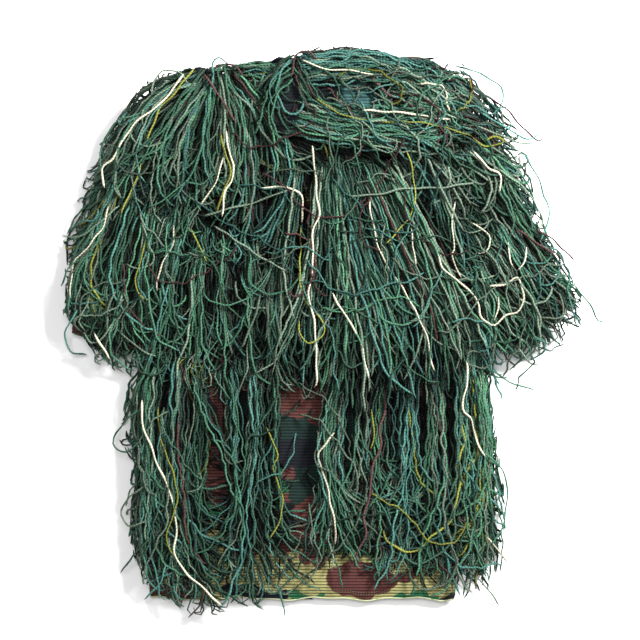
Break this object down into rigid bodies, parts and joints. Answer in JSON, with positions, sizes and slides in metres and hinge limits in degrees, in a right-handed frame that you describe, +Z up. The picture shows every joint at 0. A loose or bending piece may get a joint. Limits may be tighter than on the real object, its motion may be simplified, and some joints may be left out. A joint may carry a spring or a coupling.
{
  "type": "ghillie jacket",
  "caption": "Hooded camouflage jacket lying flat on its front: ribbed mesh cloth covered in rows of hanging yarn fringe, with short wide sleeves and the hood folded down.",
  "frame": {"origin": "on the floor under the middle of the whole piece", "axes": "+Y towards the hood, +Z up through the flat garment's thickness, +X to the right seen from above, with the back facing up"},
  "size_m": [0.848, 0.894, 0.1],
  "materials": {
    "mesh_cloth": "printed ribbed mesh, matt",
    "trim": "woven tape, matt",
    "fringe_green": "loose plied yarn, matt",
    "fringe_dark": "loose plied yarn, matt",
    "fringe_brown": "loose plied yarn, matt",
    "zipper_coil": "moulded coil, satin",
    "zipper_metal": "dark lacquer, satin"
  },
  "bodies": {
    "jacket": {"back_panel": "mesh_cloth", "front_panel_left": "mesh_cloth", "front_panel_right": "mesh_cloth", "side_seam_left": "trim", "side_seam_right": "trim", "shoulder_seam_left": "trim", "shoulder_seam_right": "trim", "neck_binding": "trim", "hem_band_back": "trim", "hem_band_front_left": "trim", "hem_band_front_right": "trim", "zipper_tape_left": "trim", "zipper_tape_right": "trim", "middle_back_fringe": "fringe_green", "upper_back_fringe": "fringe_green", "lower_fringe_outer_left": "fringe_green", "lower_fringe_outer_right": "fringe_green", "yoke_fringe_left": "fringe_green", "lower_fringe_middle": "fringe_dark", "yoke_fringe_right": "fringe_dark", "front_fringe_left": "fringe_dark", "front_fringe_right": "fringe_dark", "lower_fringe_inner_left": "fringe_brown", "lower_fringe_inner_right": "fringe_brown", "zipper_coil_left": "zipper_coil", "zipper_coil_right": "zipper_coil", "zipper_top_stop_left": "zipper_metal", "zipper_top_stop_right": "zipper_metal", "zipper_bottom_stop": "zipper_metal"},
    "zipper_slider": {"zipper_slider": "zipper_metal"},
    "zipper_pull": {"zipper_pull": "zipper_metal"},
    "left_sleeve": {"left_sleeve_upper_panel": "mesh_cloth", "left_sleeve_under_panel": "mesh_cloth", "left_sleeve_outer_seam": "trim", "left_sleeve_inner_seam": "trim", "left_cuff_band": "trim", "left_sleeve_fringe": "fringe_green", "left_sleeve_underside_fringe": "fringe_dark"},
    "right_sleeve": {"right_sleeve_upper_panel": "mesh_cloth", "right_sleeve_under_panel": "mesh_cloth", "right_sleeve_outer_seam": "trim", "right_sleeve_inner_seam": "trim", "right_cuff_band": "trim", "right_sleeve_fringe": "fringe_green", "right_sleeve_underside_fringe": "fringe_dark"},
    "hood": {"hood_under_panel": "mesh_cloth", "hood_upper_panel": "mesh_cloth", "hood_crown_seam": "trim", "hood_neck_seam": "trim", "hood_fringe": "fringe_green"}
  },
  "joints": [
    {"name": "hood_fold", "type": "hinge", "parent": "jacket", "child": "hood", "pos_m": [0.055, 0.441, 0.0765], "axis": [-1, 0, 0], "range_deg": [0, 150]},
    {"name": "left_sleeve_swing", "type": "hinge", "parent": "jacket", "child": "left_sleeve", "pos_m": [-0.248, 0.315, 0.0329], "axis": [0, 0, -1], "range_deg": [0, 50]},
    {"name": "right_sleeve_swing", "type": "hinge", "parent": "jacket", "child": "right_sleeve", "pos_m": [0.162, 0.315, 0.0329], "axis": [0, 0, 1], "range_deg": [0, 45]},
    {"name": "zipper_slide", "type": "slide", "parent": "jacket", "child": "zipper_slider", "axis": [0, -1, 0], "range_m": [0, 0.7]},
    {"name": "zipper_pull_flip", "type": "hinge", "parent": "zipper_slider", "child": "zipper_pull", "pos_m": [-0.043, 0.318, 0.0068], "axis": [1, 0, 0], "range_deg": [-12, 157]}
  ]
}
